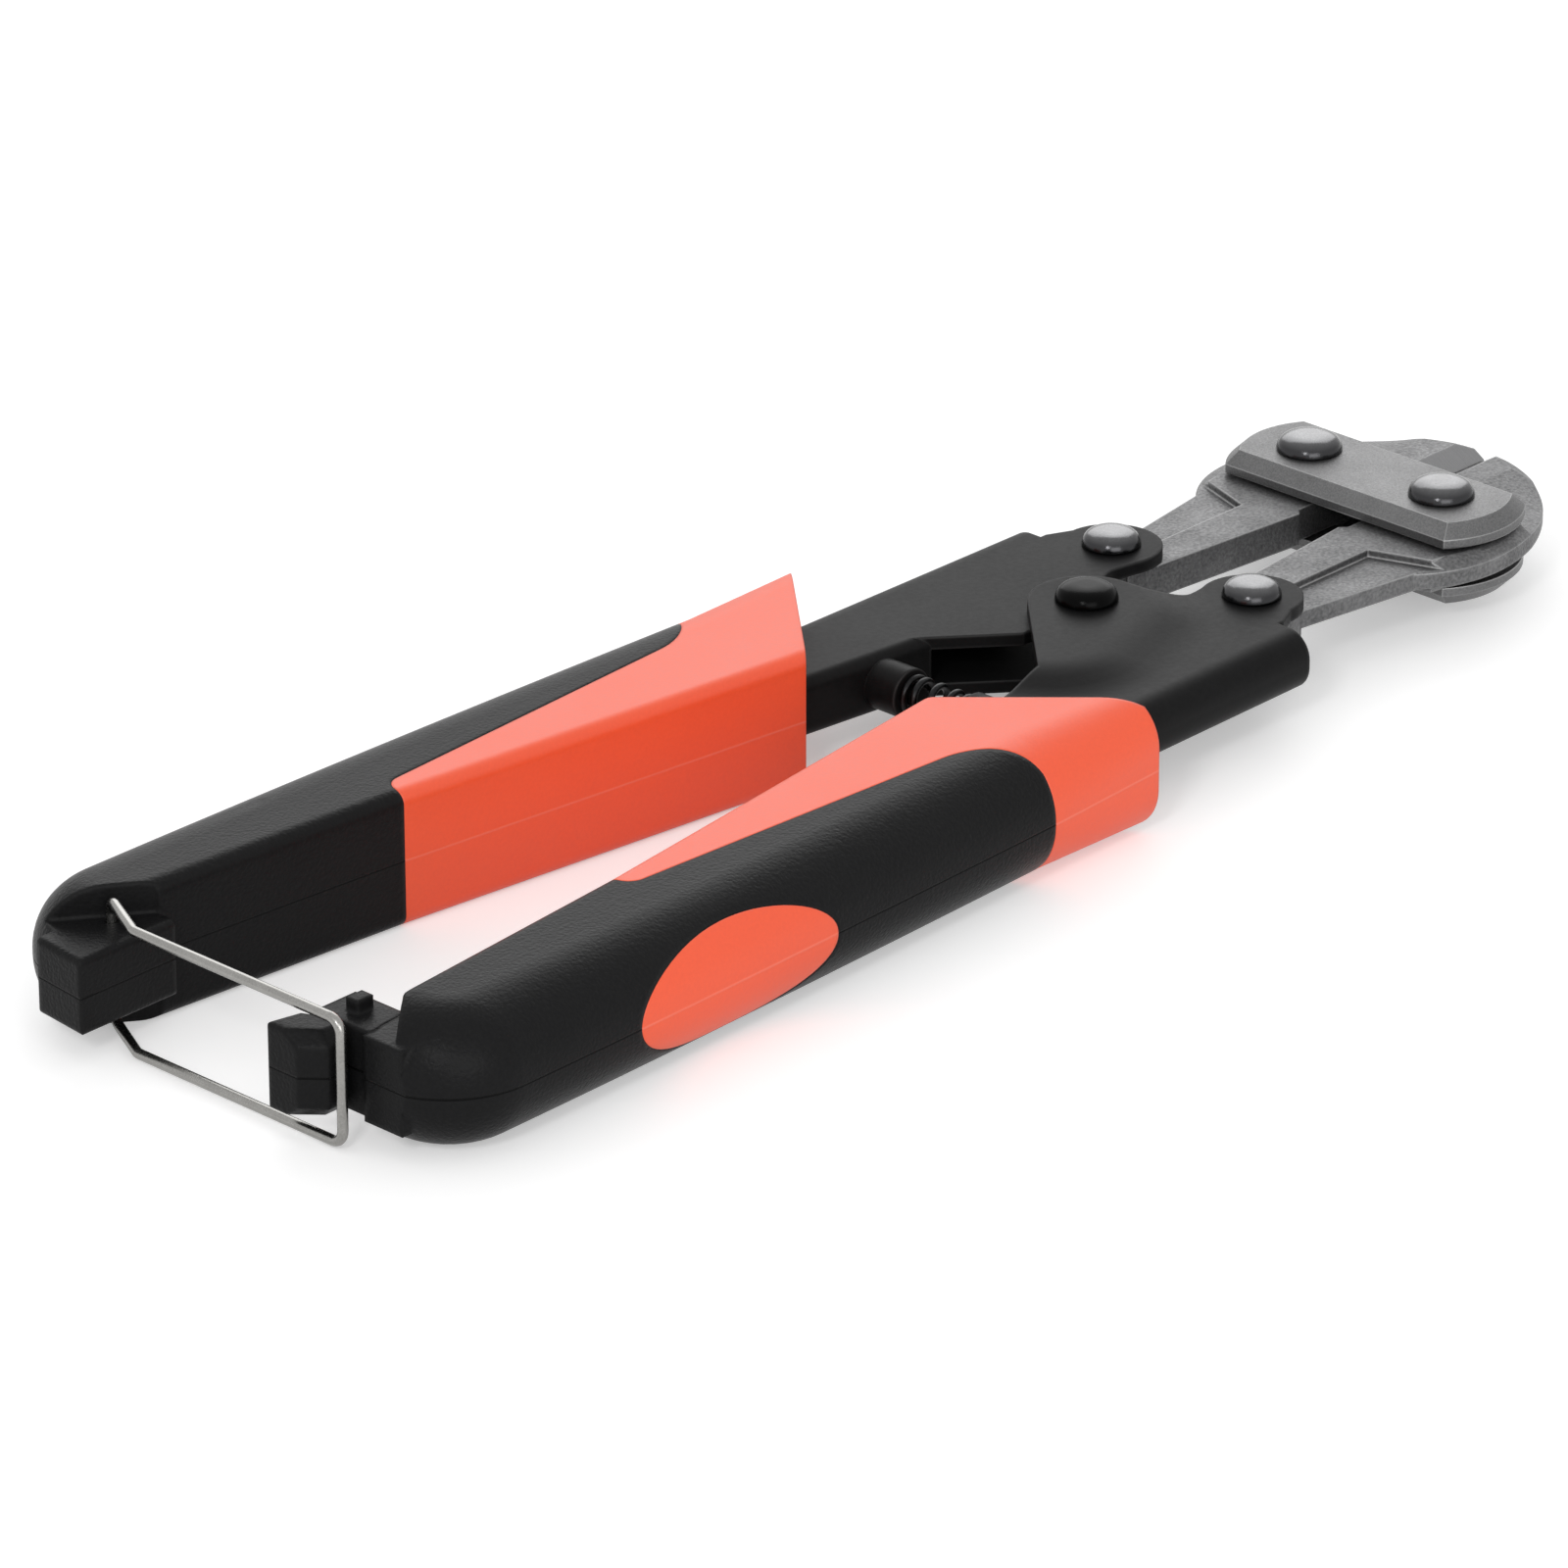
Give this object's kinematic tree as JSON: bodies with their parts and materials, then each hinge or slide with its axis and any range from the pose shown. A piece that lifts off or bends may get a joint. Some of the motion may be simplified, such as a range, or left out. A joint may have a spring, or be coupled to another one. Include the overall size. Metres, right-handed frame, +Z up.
{
  "type": "bolt cutters",
  "caption": "Compact hand bolt cutter: forged jaws on link straps, pressed sheet arms, two-colour moulded grips, return spring and a wire bail that latches it closed.",
  "frame": {"origin": "middle of the tool's length and width, on the surface that it lies on", "axes": "+X towards the jaws' tips, +Y towards the handle that carries the bail, +Z up out of the surface, along the pivots"},
  "size_m": [0.214, 0.0644, 0.0164],
  "materials": {
    "forged_steel": "bead blasted forging, grey",
    "strap_steel": "fine blasted plate, grey",
    "rivet_steel": "polished domes, dark grey",
    "rivet_black": "glossy black",
    "arm_paint": "satin black paint on pressed sheet",
    "grip_orange": "smooth moulded plastic",
    "grip_black": "soft moulded rubber, fine grain",
    "bail_wire": "bright nickel plated wire",
    "spring_steel": "dark oiled spring wire",
    "bush_steel": "turned steel"
  },
  "bodies": {
    "far_handle": {"arm_far": "arm_paint", "grip_base_far": "grip_orange", "grip_cover_far": "grip_black", "jaw_rivet_far": "rivet_steel", "centre_rivet": "rivet_black", "centre_bush": "bush_steel", "spring_seat_far": "arm_paint", "return_spring": "spring_steel"},
    "near_handle": {"arm_near": "arm_paint", "grip_base_near": "grip_orange", "grip_cover_near": "grip_black", "jaw_rivet_near": "rivet_steel", "spring_seat_near": "arm_paint", "latch_hook": "grip_black"},
    "far_jaw": {"jaw_far": "forged_steel"},
    "near_jaw": {"jaw_near": "forged_steel"},
    "strap": {"strap_top": "strap_steel", "strap_bottom": "strap_steel", "strap_rivet_far": "rivet_steel", "strap_rivet_near": "rivet_steel"},
    "bail": {"bail": "bail_wire"}
  },
  "joints": [
    {"name": "handle_open", "type": "hinge", "parent": "far_handle", "child": "near_handle", "pos_m": [0.035, 0, 0.0082], "axis": [0, 0, 1], "range_deg": [0, 28], "deforming": ["return_spring"]},
    {"name": "far_jaw_turn", "type": "hinge", "parent": "far_handle", "child": "far_jaw", "pos_m": [0.0515, 0.01075, 0.0082], "axis": [0, 0, 1], "range_deg": [0, 21.2]},
    {"name": "near_jaw_turn", "type": "hinge", "parent": "near_handle", "child": "near_jaw", "pos_m": [0.0515, -0.01075, 0.0082], "axis": [0, 0, 1], "range_deg": [-21.2, 0]},
    {"name": "strap_turn", "type": "hinge", "parent": "far_jaw", "child": "strap", "pos_m": [0.0863, 0.01015, 0.0082], "axis": [0, 0, 1], "range_deg": [-7.2, 0]},
    {"name": "bail_swing", "type": "hinge", "parent": "far_handle", "child": "bail", "pos_m": [-0.098, 0.0208, 0.0082], "axis": [0, 0, 1], "range_deg": [-84.1, 0]}
  ],
  "couplings": [
    {"joint": "far_jaw_turn", "follows": "handle_open", "ratio": 0.75387},
    {"joint": "near_jaw_turn", "follows": "handle_open", "ratio": -0.75387},
    {"joint": "strap_turn", "follows": "handle_open", "ratio": -0.25387},
    {"joint": "bail_swing", "follows": "handle_open", "ratio": -3}
  ]
}
